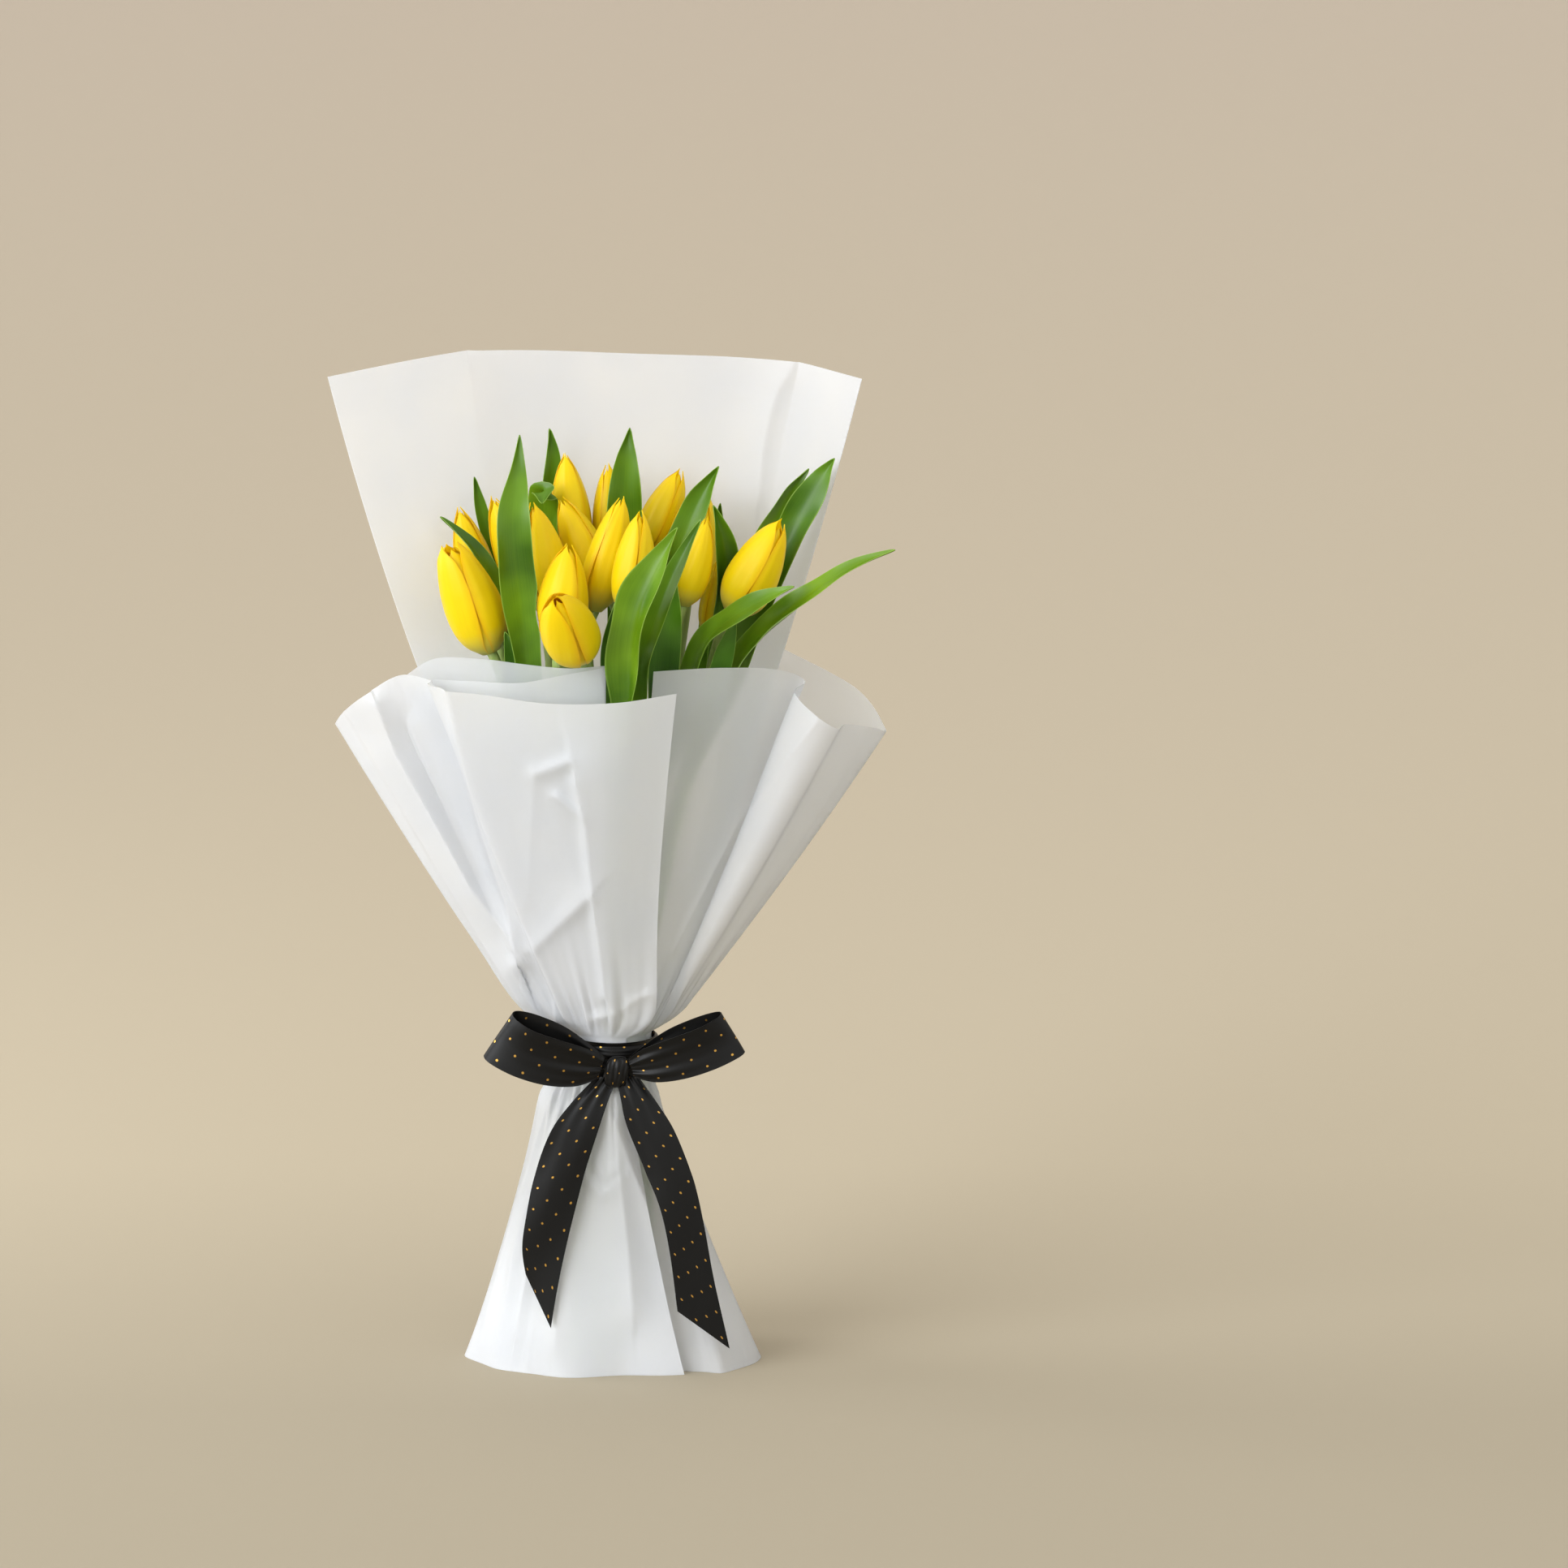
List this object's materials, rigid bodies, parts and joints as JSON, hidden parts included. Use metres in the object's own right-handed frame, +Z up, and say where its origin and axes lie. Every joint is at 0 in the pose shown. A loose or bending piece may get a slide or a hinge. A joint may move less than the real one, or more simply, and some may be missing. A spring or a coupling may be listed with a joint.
{
  "type": "bunch of tulips",
  "caption": "Bunch of closed yellow tulips with pointed leaves, fanned out of frosted white film sheets gathered at a ribbon bow above a flared hem.",
  "frame": {"origin": "on the surface the bunch stands on, at the middle of the cut end of the centre stem", "axes": "+Z up along the stems, -Y the way the bow and the low side of the wrap face, +X to the right seen from there"},
  "size_m": [0.2785, 0.1536, 0.506],
  "materials": {
    "yellow_petal": "satin",
    "green_leaf": "satin",
    "frosted_film": "frosted",
    "black_satin": "satin"
  },
  "bodies": {
    "root": {"bloom_a": "yellow_petal", "bloom_b": "yellow_petal", "bloom_c": "yellow_petal", "bloom_d": "yellow_petal", "bloom_e": "yellow_petal", "bloom_f": "yellow_petal", "bloom_g": "yellow_petal", "bloom_h": "yellow_petal", "bloom_i": "yellow_petal", "bloom_j": "yellow_petal", "bloom_k": "yellow_petal", "bloom_l": "yellow_petal", "bloom_m": "yellow_petal", "bloom_n": "yellow_petal", "bloom_o": "yellow_petal", "bloom_p": "yellow_petal", "stem_a": "green_leaf", "stem_b": "green_leaf", "stem_c": "green_leaf", "stem_d": "green_leaf", "stem_e": "green_leaf", "stem_f": "green_leaf", "stem_g": "green_leaf", "stem_h": "green_leaf", "stem_i": "green_leaf", "stem_j": "green_leaf", "stem_k": "green_leaf", "stem_l": "green_leaf", "stem_m": "green_leaf", "stem_n": "green_leaf", "stem_o": "green_leaf", "stem_p": "green_leaf", "back_sheet": "frosted_film", "inner_sheet": "frosted_film", "right_sheet": "frosted_film", "front_sheet": "frosted_film", "ribbon_band": "black_satin", "ribbon_knot": "black_satin", "ribbon_loop_left": "black_satin", "ribbon_loop_right": "black_satin", "ribbon_tail_left": "black_satin", "ribbon_tail_right": "black_satin"}
  },
  "joints": []
}
